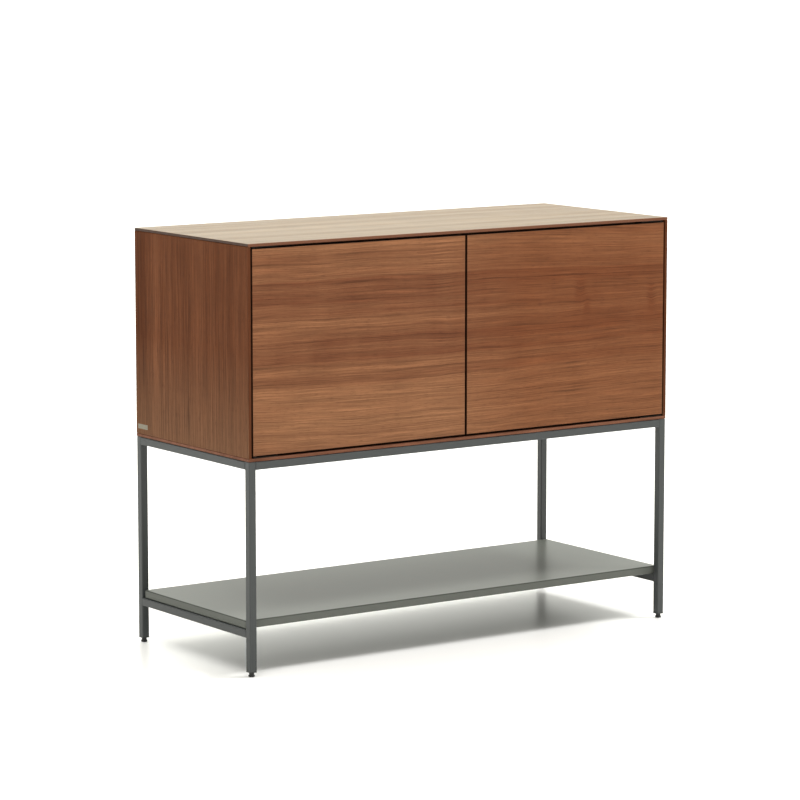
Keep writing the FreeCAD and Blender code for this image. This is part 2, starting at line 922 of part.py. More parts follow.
upper = hinge_parts("upper_pivot", shell_high, -1, door_high)
lower = hinge_parts("lower_pivot", shell_low, 1, door_low)
root_sets = {"pivot_brackets": 0, "pivot_pins": 1, "pivot_washers": 2}
for label, index in root_sets.items():
    pair = grouped(label + "_pair", [upper[index], lower[index]])
    keep(grouped(label + "_all", [pair, mirrored(label + "_twin", pair)]), label)
leaves = grouped("leaves", [upper[3], lower[3]])
keep(leaves, "pivot_leaves_right")
keep(mirrored("leaves_twin", leaves), "pivot_leaves_left")
leaf_screws = repeated("leaf_screw_set", wood_screw, leaf_places_right, screw_length)
keep(leaf_screws, "leaf_screws_right")
keep(mirrored("leaf_screw_twin", leaf_screws), "leaf_screws_left")
keep(
    repeated("bracket_screw_set", wood_screw, bracket_places, screw_length), "bracket_screws"
)


# Push latches, their strike plates and the doors

strike_place = [(latch_x, strike_y, latch_z, "+y")]
strike_drill = repeated("strike_drill", wood_drill, strike_place, screw_length + overrun)
strike_disc = rod(
    "strike_disc", "+y", latch_x, door_back_y, latch_z, strike_radius, strike_thickness
)
strike = less("strike", strike_disc, strike_drill)
strike_screw = repeated("strike_screw", wood_screw, strike_place, screw_length)
keep(strike, "strike_plate_right")
keep(mirrored("strike_twin", strike), "strike_plate_left")
keep(strike_screw, "strike_screw_right")
keep(mirrored("strike_screw_twin", strike_screw), "strike_screw_left")

door_x = (middle_gap / 2, door_edge_x)
door_board, door_slab = board("door_board", door_x, (front_y, door_back_y), (door_low, door_high))
soften(
    door_board,
    door_slab,
    "Fillet",
    door_easing,
    lambda middle, edge: middle.y < door_easing.value / 2,
)
door_cuts = grouped("door_cuts", [upper[4], lower[4], leaf_drills, strike_drill])
door = less("door_cut", door_board, door_cuts)
keep(door, "door_right")
keep(mirrored("door_twin", door), "door_left")

tip_y = strike_y + contact_gap
latch_back_y = latch_front_y + latch_length
chamber_y = (latch_front_y + latch_guide, latch_back_y - latch_end_wall)
collar_y = chamber_y[0] + contact_gap
plunger = turned(
    "plunger",
    [
        (0, 0),
        (plunger_radius - edge_easing, 0),
        (plunger_radius, edge_easing),
        (plunger_radius, collar_y - tip_y),
        (plunger_collar_radius, collar_y - tip_y),
        (plunger_collar_radius, collar_y - tip_y + plunger_collar),
        (plunger_radius, collar_y - tip_y + plunger_collar),
        (plunger_radius, plunger_length),
        (0, plunger_length),
    ],
)
plunger.Placement = FreeCAD.Placement(FreeCAD.Vector(), TURNS["+y"])
put(plunger, latch_x, tip_y, latch_z)
keep(plunger, "latch_plunger_right")
keep(mirrored("plunger_twin", plunger), "latch_plunger_left")

latch_face = divider_thickness / 2
case_z = (latch_z - latch_height / 2, latch_z + latch_height / 2)
latch_case = block(
    "latch_case", (latch_face, latch_face + latch_width), (latch_front_y, latch_back_y), case_z
)
ear_x = (latch_face, latch_face + latch_flange)
front_ear = block(
    "latch_front_ear",
    ear_x,
    (latch_front_y, latch_front_y + latch_ear_length),
    (latch_z, case_z[1] + latch_ear),
)
rear_ear = block(
    "latch_rear_ear",
    ear_x,
    (latch_back_y - latch_ear_length, latch_back_y),
    (case_z[0] - latch_ear, latch_z),
)
guide_bore = rod(
    "latch_guide_bore",
    "+y",
    latch_x,
    latch_front_y - overrun,
    latch_z,
    plunger_radius + plunger_play,
    latch_guide + overrun * 2,
)
chamber = rod(
    "latch_chamber",
    "+y",
    latch_x,
    chamber_y[0],
    latch_z,
    chamber_radius,
    chamber_y[1] - chamber_y[0],
)
latch_blank = fused("latch_blank", latch_case, front_ear, rear_ear)
latch_hollow = grouped("latch_hollow", [fused("latch_bore", guide_bore, chamber), latch_drills])
latch = less("latch", latch_blank, latch_hollow)
keep(grouped("latch_pair", [latch, mirrored("latch_twin", latch)]), "latch_housings")
keep(repeated("latch_screw_set", wood_screw, latch_places, screw_length), "latch_screws")

# The coil spring round the plunger's stem is drawn as its outer sleeve, pressed together
spring_y = (collar_y + plunger_collar + plunger_travel + contact_gap, chamber_y[1])
spring_inner = plunger_radius + plunger_play
sleeve = rod(
    "spring_sleeve",
    "+y",
    latch_x,
    spring_y[0],
    latch_z,
    spring_inner + spring_wall,
    spring_y[1] - spring_y[0],
)
sleeve_bore = rod(
    "spring_bore",
    "+y",
    latch_x,
    spring_y[0] - overrun,
    latch_z,
    spring_inner,
    spring_y[1] - spring_y[0] + overrun * 2,
)
spring = less("spring", sleeve, sleeve_bore)
keep(grouped("spring_pair", [spring, mirrored("spring_twin", spring)]), "latch_springs")


# Welded frame of square tube


def square_tube(name, length):
    """A hollow square tube along its own Z axis, standing on its corner."""
    body = new_body(name)
    drawing = sketch_on(body, "XY_Plane", name + "_outline")
    rectangle(drawing, (0, tube), (0, tube))
    solid = pad(body, drawing, length)
    half = length.value / 2
    near = tube_radius.value
    soften(body, solid, "Fillet", tube_radius, lambda middle, edge: abs(middle.z - half) < near)
    hollow = sketch_on(body, "XY_Plane", name + "_bore")
    rectangle(hollow, (tube_wall, tube - tube_wall), (tube_wall, tube - tube_wall))
    body.Tip = pocket(body, hollow, length, True)
    return body


foot_height = foot_pad_height + foot_neck_height
leg_low = foot_height + plug_flange
leg_length = frame_height - leg_low
corners = {
    "front_left": (-half_width, -half_depth),
    "front_right": (half_width - tube, -half_depth),
    "back_left": (-half_width, half_depth - tube),
    "back_right": (half_width - tube, half_depth - tube),
}
for corner, (x, y) in corners.items():
    leg = square_tube("leg_" + corner + "_tube", leg_length)
    put(leg, x, y, leg_low)
    keep(leg, "leg_" + corner)

long_rail = overall_width - tube * 2
short_rail = overall_depth - tube * 2
long_rails = {"front": -half_depth, "back": half_depth - tube}
for side, y in long_rails.items():
    rail = square_tube("rail_" + side, long_rail)
    rail.Placement = FreeCAD.Placement(FreeCAD.Vector(), TURNS["+x"])
    put(rail, -half_width + tube, y, frame_height)
    keep(rail, "top_rail_" + side)
short_rails = {"left": -half_width, "right": half_width - tube}
for side, x in short_rails.items():
    rail = square_tube("rail_" + side, short_rail)
    rail.Placement = FreeCAD.Placement(FreeCAD.Vector(), TURNS["+y"])
    put(rail, x, -half_depth + tube, frame_height)
    keep(rail, "top_rail_" + side)
    low = square_tube("low_rail_" + side, short_rail)
    low.Placement = FreeCAD.Placement(FreeCAD.Vector(), TURNS["+y"])
    put(low, x, -half_depth + tube, lower_rail_top)
    keep(low, "lower_rail_" + side)

# Tabs welded inside the top rails carry the cabinet and take its screws. They
# stand a little proud of the rails, which leaves a dark joint under the cabinet.
frame_tabs = []
reach = frame_tab_reach / 2
for index, (x, y) in enumerate(frame_spots):
    if y.value == 0:
        middle = inner_x - reach if x.value > 0 else -inner_x + reach
        tab_x, tab_y = (middle - reach, middle + reach), (-tab_length / 2, tab_length / 2)
    else:
        middle = inner_y - reach if y.value > 0 else -inner_y + reach
        tab_x = (x - tab_length / 2, x + tab_length / 2)
        tab_y = (middle - reach, middle + reach)
    frame_tabs.append(
        block("frame_tab_%d" % index, tab_x, tab_y, (cabinet_base - tab_thickness, cabinet_base))
    )
frame_tab_group = grouped("frame_tab_group", frame_tabs)
keep(less("frame_tabs_drilled", frame_tab_group, frame_drills), "frame_tabs")
keep(
    repeated("frame_screw_set", frame_screw, frame_places, frame_screw_length), "frame_screws"
)


# Folded steel shelf, bolted to proud tabs on the lower rails

tray_x = half_width - tray_side_inset
tray_y = half_depth - tube - tray_leg_gap
tray_top = shelf_underside + tray_edge
tray_blank, tray_slab = board(
    "tray_blank", (-tray_x, tray_x), (-tray_y, tray_y), (shelf_underside, tray_top)
)
soften(tray_blank, tray_slab, "Fillet", tray_bend, lambda middle, edge: True)
tray_hollow = block(
    "tray_hollow",
    (-tray_x + sheet_steel, tray_x - sheet_steel),
    (-tray_y + sheet_steel, tray_y - sheet_steel),
    (shelf_underside + sheet_steel, tray_top - sheet_steel),
)
tray_mouth = block(
    "tray_mouth",
    (-tray_x + tray_return, tray_x - tray_return),
    (-tray_y + tray_return, tray_y - tray_return),
    (shelf_underside - overrun, shelf_underside + sheet_steel * 2),
)
# A fine open seam shows on each end face where the folded walls meet
end_walls = [
    (-tray_x - overrun, -tray_x + sheet_steel),
    (tray_x - sheet_steel, tray_x + overrun),
]
seam_z = (shelf_underside + tray_bend, tray_top - tray_bend)
seams = []
for wall_x in end_walls:
    for y in (-tray_y + tray_seam_inset, tray_y - tray_seam_inset - tray_seam):
        seams.append(block("tray_seam_%d" % len(seams), wall_x, (y, y + tray_seam), seam_z))
tray_hole = fused("tray_hole", tray_hollow, tray_mouth, *seams)
tray_cut = less("tray_cut", tray_blank, tray_hole)
keep(less("tray", tray_cut, bolt_drills), "lower_shelf")

tabs = []
nuts = []
for index, (x, y) in enumerate(tab_spots):
    tabs.append(
        block(
            "tab_%d" % index,
            (x - tab_width / 2, x + tab_width / 2),
            (y - tab_length / 2, y + tab_length / 2),
            (tab_low, shelf_underside),
        )
    )
    nuts.append(
        rod(
            "nut_%d" % index,
            "+z",
            x,
            y,
            shelf_underside + sheet_steel,
            tray_nut_radius,
            tray_nut_height,
        )
    )
keep(less("tabs_drilled", grouped("tabs", tabs), bolt_drills), "shelf_tabs")
keep(less("nuts_drilled", grouped("nuts", nuts), bolt_drills), "shelf_nuts")
keep(repeated("shelf_bolt_set", shelf_bolt, bolt_places, tray_bolt_length), "shelf_bolts")


# Plugs in the leg ends and the levelling feet

plugs = []
for corner, (x, y) in corners.items():
    name = "plug_" + corner
    inset = plug_flange_inset
    flange = block(
        name + "_flange",
        (x + inset, x + tube - inset),
        (y + inset, y + tube - inset),
        (foot_height, leg_low),
    )
    inside = tube_wall + plug_play
    core = block(
        name + "_core",
        (x + inside, x + tube - inside),
        (y + inside, y + tube - inside),
        (leg_low, leg_low + plug_length),
    )
    middle_x = x + tube / 2
    middle_y = y + tube / 2
    thread = rod(
        name + "_thread",
        "+z",
        middle_x,
        middle_y,
        foot_height - overrun,
        stud_radius + fit_play,
        plug_length + overrun * 3,
    )
    plugs.append(less(name, fused(name + "_blank", flange, core), thread))

    pad_body = turned(
        "foot_pad_turning_" + corner,
        [
            (0, 0),
            (foot_pad_radius - foot_edge_round, 0),
            (foot_pad_radius, foot_edge_round),
            (foot_pad_radius, foot_pad_height - foot_edge_round),
            (foot_pad_radius - foot_edge_round, foot_pad_height),
            (foot_neck_radius, foot_pad_height),
            (foot_neck_radius, foot_height),
            (stud_radius, foot_height),
            (stud_radius, stud_socket),
            (0, stud_socket),
        ],
    )
    put(pad_body, middle_x, middle_y, 0)
    keep(pad_body, "foot_pad_" + corner)
    stud = rod(
        "stud_" + corner, "+z", middle_x, middle_y, stud_socket, stud_radius, stud_length
    )
    keep(stud, "foot_stud_" + corner)
keep(grouped("plug_set", plugs), "leg_plugs")


# Every object has to be sound before anything is written

doc.recompute()
faults = []
for item in doc.Objects:
    if "Invalid" in item.State or "Error" in item.State:
        faults.append(item.Name)
for item in sub_parts:
    if item.Shape.isNull() or not item.Shape.isValid() or not item.Shape.Solids:
        faults.append(item.Label)
if faults:
    raise RuntimeError("These objects failed: " + ", ".join(faults))

for item in sub_parts:
    item.Shape.exportStep("parts/" + item.Label + ".step")
    box = item.Shape.BoundBox
    corner = "%.2f %.2f %.2f to %.2f %.2f %.2f" % (
        box.XMin, box.YMin, box.ZMin, box.XMax, box.YMax, box.ZMax,
    )
    print(item.Label, len(item.Shape.Solids), "solids", corner)
print(len(sub_parts), "sub-parts")
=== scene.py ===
# %% [markdown]
# A slim walnut sideboard on a steel frame.
# The solids of the cabinet, the frame and the hardware come in as a fixed
# frame, in metres, with the front facing -Y. This lesson gives them their
# finishes, adds the coiled springs of the latches, and sets up a camera, a
# floor and soft studio light.

import json
import math

import bmesh
import bpy
from mathutils import Matrix, Vector


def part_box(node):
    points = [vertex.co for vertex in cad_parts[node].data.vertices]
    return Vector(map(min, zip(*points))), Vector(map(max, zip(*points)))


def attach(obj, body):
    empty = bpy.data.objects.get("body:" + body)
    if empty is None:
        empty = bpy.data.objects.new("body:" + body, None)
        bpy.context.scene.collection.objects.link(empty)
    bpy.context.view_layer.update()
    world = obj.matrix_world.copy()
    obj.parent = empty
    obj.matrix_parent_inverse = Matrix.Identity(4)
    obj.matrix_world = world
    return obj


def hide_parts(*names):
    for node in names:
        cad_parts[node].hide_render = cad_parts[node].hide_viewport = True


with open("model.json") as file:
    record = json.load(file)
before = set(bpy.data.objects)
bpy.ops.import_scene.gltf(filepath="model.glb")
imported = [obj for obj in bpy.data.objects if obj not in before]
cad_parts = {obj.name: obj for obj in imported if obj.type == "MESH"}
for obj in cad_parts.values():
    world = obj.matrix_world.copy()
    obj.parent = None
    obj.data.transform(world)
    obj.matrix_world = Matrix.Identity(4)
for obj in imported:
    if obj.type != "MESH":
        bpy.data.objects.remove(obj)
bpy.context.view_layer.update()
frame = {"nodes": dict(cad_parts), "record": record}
nodes = frame["nodes"]

# %% [markdown]
# The camera stands about seven metres off, to the left of the cabinet and a
# little above its top, behind a long lens. Furniture is often photographed
# with a level camera whose picture is shifted down, so that the uprights stay
# parallel. Such a shift would throw the sideboard out of every other view, so
# this camera is tipped down a little instead, and the long lens keeps the
# uprights nearly parallel. Its place was worked out from the corners of the
# cabinet, so it is written here as numbers rather than as a rule.

# %% Camera
IMAGE_SIDE = 800
FOCAL_IN_PIXELS = 3548.06
SENSOR_MM = 36.0
AZIMUTH_DEG = 34.89
PITCH_DEG = 7.974
CAMERA_PLACE = (-3.91407, -5.59428, 1.40999)
CLIP_END = 200.0

camera_data = bpy.data.cameras.new("studio_camera")
camera_data.sensor_width = SENSOR_MM
camera_data.lens = FOCAL_IN_PIXELS / IMAGE_SIDE * SENSOR_MM
camera_data.clip_end = CLIP_END
camera = bpy.data.objects.new("studio_camera", camera_data)
camera.location = CAMERA_PLACE
camera.rotation_euler = (math.radians(90 - PITCH_DEG), 0, math.radians(-AZIMUTH_DEG))
bpy.context.scene.collection.objects.link(camera)
bpy.context.scene.camera = camera
bpy.context.scene.view_settings.view_transform = "Standard"
print("lens", round(camera_data.lens, 1), "mm")

# %% [markdown]
# Every finish below is a small graph of shader nodes. It could be wired by
# hand in the node editor, but a written graph comes out the same each time,
# and the finishes can share its parts. A few helpers keep the graphs readable:
# one adds a node and plugs in its inputs, one adds a Math node, one splits a
# vector into its three parts, and one plugs a result into the shader. An input
# may be a number, a colour or another node's output.

# %% Helpers for shader graphs
def add(tree, kind, inputs=None, output=0, **settings):
    made = tree.nodes.new("ShaderNode" + kind)
    for name, value in settings.items():
        setattr(made, name, value)
    for name, value in (inputs or {}).items():
        if isinstance(value, bpy.types.NodeSocket):
            tree.links.new(value, made.inputs[name])
        else:
            made.inputs[name].default_value = value
    return made.outputs[output]


def calc(tree, operation, first, second=0.0, third=0.0):
    inputs = {0: first, 1: second, 2: third}
    return add(tree, "Math", inputs, operation=operation)


def split(tree, vector):
    parts = add(tree, "SeparateXYZ", {0: vector}).node
    return dict(zip("XYZ", parts.outputs))


def plug(tree, source, shader, socket):
    tree.links.new(source, shader.inputs[socket])


print("graph helpers: add, calc, split and plug")

# %% [markdown]
# A finish starts as one Principled shader, with its constant values set on the
# shader's own sockets. Pictures of wood and steel could be laid on instead,
# but they need unwrapped surfaces and show a seam at every edge. Patterns made
# from the object coordinates need neither, and run on from one board to the
# next. The helper hands back the tree, the shader and the three coordinates,
# which are plain metres here, because every piece keeps its origin at the
# origin of the scene.

# %% Helper for a new finish
def new_finish(name, **constants):
    finish = bpy.data.materials.new(name)
    finish.use_nodes = True
    tree = finish.node_tree
    shader = tree.nodes["Principled BSDF"]
    for socket, value in constants.items():
        shader.inputs[socket.replace("_", " ")].default_value = value
    place = split(tree, add(tree, "TexCoord", output="Object"))
    return finish, tree, shader, place


print("finishes start as one Principled shader each")

# %% [markdown]
# Patterns are noise on stretched coordinates. Wood fibre, for instance, is
# noise that is squeezed across the grain and drawn out along it. The other
# helpers here stretch a pattern to a new range, mix two colours by it, or
# turn it into relief.

# %% Helpers for noise, ranges, mixes and relief
def noise(tree, x, y, z, detail):
    point = add(tree, "CombineXYZ", {0: x, 1: y, 2: z})
    inputs = {"Vector": point, "Scale": 1.0, "Detail": detail}
    return add(tree, "TexNoise", inputs)


def remap(tree, value, low, high, to_low=0.0, to_high=1.0):
    inputs = {0: value, 1: low, 2: high, 3: to_low, 4: to_high}
    return add(tree, "MapRange", inputs, clamp=True)


def blend(tree, factor, first, second):
    mixer = tree.nodes.new("ShaderNodeMix")
    mixer.data_type = "RGBA"
    for index, value in ((0, factor), (6, first), (7, second)):
        if isinstance(value, bpy.types.NodeSocket):
            tree.links.new(value, mixer.inputs[index])
        else:
            mixer.inputs[index].default_value = (*value, 1.0)
    return mixer.outputs[2]


def bump(tree, height, shader, strength, distance):
    inputs = {"Height": height, "Strength": strength, "Distance": distance}
    plug(tree, add(tree, "Bump", inputs), shader, "Normal")


print("pattern helpers: noise, remap, blend and bump")

# %% [markdown]
# Walnut veneer is the finish that the whole piece lives by. A sliced leaf
# shows the growth rings as long lines that drift and sway along the board,
# in bands of lighter and darker wood, with short dark pores along the fibre
# and a faint cloudy figure across it. A knot pushes the lines apart.
#
# A wave texture would give the lines at once, but evenly spaced like a
# ribbed cloth, so they come from layers of noise. The table gives each layer
# its waves per metre along the grain and across it, a step added to the
# board's seed, and how much fine detail it carries.

# %% The layers of the wood
WOOD_LAYERS = {
    "wide_sway": (1.6, 3.0, 0, 0.0),
    "close_sway": (7.0, 14.0, 4, 1.0),
    "cloud": (14.0, 7.0, 5, 2.0),
    "rings": (1.2, 60.0, 1, 2.0),
    "lines": (2.6, 260.0, 2, 2.0),
    "fibre": (10.0, 620.0, 3, 2.0),
    "late_wood": (0.9, 130.0, 7, 2.0),
    "pores": (60.0, 1300.0, 6, 2.0),
}


def layer(tree, name, along, across, seed):
    along_rate, across_rate, seed_step, detail = WOOD_LAYERS[name]
    x = calc(tree, "MULTIPLY", along, along_rate)
    y = calc(tree, "MULTIPLY", across, across_rate)
    return noise(tree, x, y, seed + seed_step, detail)


def sway(tree, pattern, amount, base):
    swing = calc(tree, "SUBTRACT", pattern, 0.5)
    return calc(tree, "MULTIPLY_ADD", swing, amount, base)


print("wood:", len(WOOD_LAYERS), "layers of noise")

# %% [markdown]
# The line of the grain is the coordinate across the board, bent by a slope,
# by two sways and by the knots. Everything that follows the grain is read off
# this bent coordinate, so that bands, rings and fibre bend together, as they
# do in wood. A knot is a soft bump, e to the power of minus the squared
# distance, because it pushes the lines apart and then dies away. It also
# leaves a shade of its own.

# %% Bend the coordinate across the grain
CLOSE_SWAY_SHARE = 0.22


def knot_bump(tree, along, across, knot):
    at_along, at_across, long_radius, wide_radius = knot
    a = calc(tree, "DIVIDE", calc(tree, "SUBTRACT", along, at_along), long_radius)
    c = calc(tree, "DIVIDE", calc(tree, "SUBTRACT", across, at_across), wide_radius)
    squares = calc(tree, "MULTIPLY", a, a), calc(tree, "MULTIPLY", c, c)
    reach = calc(tree, "ADD", *squares)
    return calc(tree, "POWER", math.e, calc(tree, "MULTIPLY", reach, -1.0))


def grain_line(tree, along, across, seed, slope, drift, knots):
    wide = layer(tree, "wide_sway", along, across, seed)
    close = layer(tree, "close_sway", along, across, seed)
    line = calc(tree, "MULTIPLY_ADD", along, slope, across)
    line = sway(tree, wide, drift, line)
    line = sway(tree, close, drift * CLOSE_SWAY_SHARE, line)
    shade = None
    for *knot, push in knots:
        near = knot_bump(tree, along, across, knot)
        line = calc(tree, "MULTIPLY_ADD", near, push, line)
        shade = near if shade is None else calc(tree, "ADD", shade, near)
    return line, shade


print("grain: the close sway is", CLOSE_SWAY_SHARE, "of the wide one")

# %% [markdown]
# The tone of the wood is set by a list of bands. Noise alone would put light
# and dark wood anywhere, but a leaf has its own bands, so each band gives a
# height on the board and how light the wood is there, from 0 to 1, and a
# colour ramp runs from one to the next. The cloudy figure and the growth
# rings then vary that tone.

# %% Tone of the bands, the figure and the rings
CLOUD_WEIGHT = 0.9
RING_WEIGHT = 1.1


def ramp(tree, value, stops):
    made = tree.nodes.new("ShaderNodeValToRGB")
    made.color_ramp.interpolation = "EASE"
    elements = made.color_ramp.elements
    elements.remove(elements[1])
    elements[0].position = stops[0][0]
    for position, lightness in stops[1:]:
        elements.new(position)
    for element, (position, lightness) in zip(elements, stops):
        element.color = (lightness, lightness, lightness, 1.0)
    tree.links.new(value, made.inputs[0])
    return made.outputs[0]


def board_tone(tree, along, across, line, seed, bands, figure, ring):
    low, high = bands[0][0], bands[-1][0]
    level = remap(tree, line, low, high)
    stops = [((height - low) / (high - low), lightness) for height, lightness in bands]
    tone = ramp(tree, level, stops)
    cloud = layer(tree, "cloud", along, across, seed)
    tone = sway(tree, cloud, CLOUD_WEIGHT * figure, tone)
    rings = layer(tree, "rings", along, line, seed)
    return sway(tree, rings, RING_WEIGHT * ring, tone)


print("tone: figure weighs", CLOUD_WEIGHT, "and rings weigh", RING_WEIGHT)

# %% [markdown]
# The fine grain could be mixed in as one more tone, but then it would vanish
# in the darkest and the lightest wood. So it multiplies the colour instead:
# long lines and short fibres lighten and darken it, and the dense late wood
# of a ring only darkens it.

# %% Gain of the fine grain
LINE_WEIGHT = 0.65
FIBRE_WEIGHT = 1.1
LATE_WEIGHT = -0.17
LATE_RANGE = (0.54, 0.70)


def grain_gain(tree, along, line, fibre, seed, fine, ring):
    lines = layer(tree, "lines", along, line, seed)
    late = layer(tree, "late_wood", along, line, seed)
    gain = sway(tree, lines, LINE_WEIGHT * fine, 1.0)
    gain = sway(tree, fibre, FIBRE_WEIGHT * fine, gain)
    dense = remap(tree, late, *LATE_RANGE)
    return calc(tree, "MULTIPLY_ADD", dense, LATE_WEIGHT * ring, gain)


print("fine grain: lines", LINE_WEIGHT, "fibre", FIBRE_WEIGHT, "late wood", LATE_WEIGHT)

# %% [markdown]
# A wash lays another tone over the wood, stronger along one axis. On the
# doors and on the sides one makes the wood paler towards the floor: painted
# light from the white paper below, which clear lacquer mirrors more there.
# One makes the right half of the doors' leaf redder.
#
# The edges of a board take two colours of their own. Each solid has one finish
# for all its faces, so a pair of edges is found by the way the surface faces.
# On the sides and along the front and back of the top, the edges are lipped
# with strips of their own. On the doors and at the ends of the top the two
# colours are near black: painted shade, for the dark gaps round the doors and
# the dark line where the top meets the sides.

# %% Washes of tone and painted light; lipped edges and painted edge shade
EDGE_FACING = 0.6


def lay_tones_and_painted_light(tree, place, colour, tones_and_painted_light):
    for axis, start, end, amount, wash in tones_and_painted_light:
        share = remap(tree, place[axis], start, end, 0.0, amount)
        colour = blend(tree, share, colour, wash)
    return colour


def lip_and_shade_edges(tree, colour, fibre, edges):
    facing = split(tree, add(tree, "TexCoord", output="Normal"))
    for axis, first, second in edges:
        turned = calc(tree, "ABSOLUTE", facing[axis])
        on_edge = calc(tree, "GREATER_THAN", turned, EDGE_FACING)
        colour = blend(tree, on_edge, colour, blend(tree, fibre, first, second))
    return colour


print("edges: faces that turn more than", EDGE_FACING, "towards an axis")

# %% [markdown]
# Lacquer lies smooth over the fibre and sinks into the pores. Pores that are
# cut into the mesh would take far too many faces, so fibre and pores are a
# relief of a few tenths of a millimetre in the shading, and the fibre varies
# the roughness a little. On the top the dark wood is also duller than the
# light wood, because open grain drinks more of the lacquer.

# %% Lacquer
FIBRE_RANGE = (0.3, 0.7)
SMOOTHER, ROUGHER = -0.05, 0.06
RELIEF_STRENGTH = 0.35
RELIEF_DEPTH = 0.00025


def lacquer(tree, shader, fibre, pits, tone, gloss, dull):
    roughness = remap(tree, fibre, *FIBRE_RANGE, gloss + SMOOTHER, gloss + ROUGHER)
    if dull:
        dulled = remap(tree, tone, 0.0, 1.0, dull, 0.0)
        roughness = calc(tree, "ADD", roughness, dulled)
    plug(tree, roughness, shader, "Roughness")
    height = calc(tree, "MULTIPLY_ADD", pits, -1.0, calc(tree, "MULTIPLY", fibre, 0.5))
    bump(tree, height, shader, RELIEF_STRENGTH, RELIEF_DEPTH)


print("lacquer: relief of", RELIEF_DEPTH * 1000, "mm for a full step of the pattern")

# %% [markdown]
# The finish puts these together. Two colours stand for the darkest and the
# lightest wood. Heights are measured on the board's main face and run on round
# its edges, so that the grain of an edge follows the grain of the face. The
# letters name the axes along the grain, across it and through the board, so
# one function serves level, upright and lengthwise boards.

# %% Walnut veneer
KNOT_SHADE = -0.5
PORE_RANGE = (0.58, 0.70)
PORE_COVER = 0.4
PORE_SHADE = 0.35


def scaled(colour, factor):
    return tuple(value * factor for value in colour)


def veneer(
    name,
    axes,
    dark,
    light,
    bands,
    seed,
    face=0.0,
    slope=0.0,
    drift=0.05,
    knots=(),
    ring=1.0,
    fine=1.0,
    figure=1.0,
    gloss=0.5,
    dull=0.0,
    tones_and_painted_light=(),
    edges=(),
    **constants,
):
    finish, tree, shader, place = new_finish(name, **constants)
    along, across, through = (place[axis] for axis in axes)
    across = calc(tree, "ADD", across, calc(tree, "SUBTRACT", through, face))
    line, knot_shade = grain_line(tree, along, across, seed, slope, drift, knots)
    tone = board_tone(tree, along, across, line, seed, bands, figure, ring)
    if knot_shade is not None:
        tone = calc(tree, "MULTIPLY_ADD", knot_shade, KNOT_SHADE, tone)

    colour = blend(tree, add(tree, "Clamp", {"Value": tone}), dark, light)
    colour = lay_tones_and_painted_light(tree, place, colour, tones_and_painted_light)
    fibre = layer(tree, "fibre", along, line, seed)
    gain = grain_gain(tree, along, line, fibre, seed, fine, ring)
    colour = add(tree, "VectorMath", {0: colour, 3: gain}, operation="SCALE")
    pits = remap(tree, layer(tree, "pores", along, line, seed), *PORE_RANGE)
    cover = calc(tree, "MULTIPLY", pits, PORE_COVER * fine)
    colour = blend(tree, cover, colour, scaled(dark, PORE_SHADE))
    if edges:
        colour = lip_and_shade_edges(tree, colour, fibre, edges)
    plug(tree, colour, shader, "Base Color")
    lacquer(tree, shader, fibre, pits, tone, gloss, dull)
    print("veneer", name, "with", len(bands), "bands and", len(knots), "knots")
    return finish


# %% [markdown]
# The doors are the face of the piece. Two finishes could serve them, but both
# doors are cut from one leaf, so they share one pattern in object coordinates
# and the grain runs on from one door to the other. The bands go by height
# above the floor. A knot is a place along the grain and across it, two radii
# and a push, all in metres.

# %% The doors: level grain over both
DOOR_FACE = -0.2
# Painted shade: the doors' edges are near black, so that the gaps round the doors read
# as dark lines.
DOOR_EDGE_SHADE = ((0.018, 0.007, 0.003), (0.036, 0.014, 0.007))
door_bands = [
    (0.405, 0.25),
    (0.420, 0.55),
    (0.445, 0.78),
    (0.475, 0.70),
    (0.500, 0.80),
    (0.520, 0.70),
    (0.545, 0.33),
    (0.566, 0.60),
    (0.580, 0.18),
    (0.605, 0.18),
    (0.640, 0.46),
    (0.672, 0.26),
    (0.700, 0.07),
    (0.716, 0.03),
    (0.721, 0.60),
    (0.745, 0.52),
    (0.770, 0.70),
    (0.795, 0.50),
]
door_knots = [
    (0.272, 0.668, 0.011, 0.022, 0.004),
    (0.289, 0.640, 0.008, 0.016, -0.003),
    (0.448, 0.642, 0.010, 0.030, 0.004),
]
door_veneer = veneer(
    "door_walnut",
    "XZY",
    dark=(0.137, 0.047, 0.021),
    light=(0.253, 0.110, 0.051),
    bands=door_bands,
    seed=3.0,
    face=DOOR_FACE,
    slope=0.012,
    drift=0.035,
    knots=door_knots,
    ring=1.05,
    fine=1.25,
    figure=0.55,
    edges=[("X", *DOOR_EDGE_SHADE), ("Z", *DOOR_EDGE_SHADE)],
    tones_and_painted_light=[
        # The first wash is painted light from the white paper below; the second makes
        # the right half redder.
        ("Z", 0.56, 0.42, 0.18, (0.30, 0.165, 0.085)),
        ("X", -0.05, 0.15, 0.45, (0.150, 0.042, 0.012)),
    ],
    Specular_IOR_Level=0.08,
)

# %% [markdown]
# The sides are the same veneer with the grain upright, cut from a darker and
# redder leaf. They could take the doors' finish turned upright, but leaves of
# one tree differ, so the colours and the bands change too. The bands go from
# front to back here. The front and back edges are lipped a little darker than
# the face.

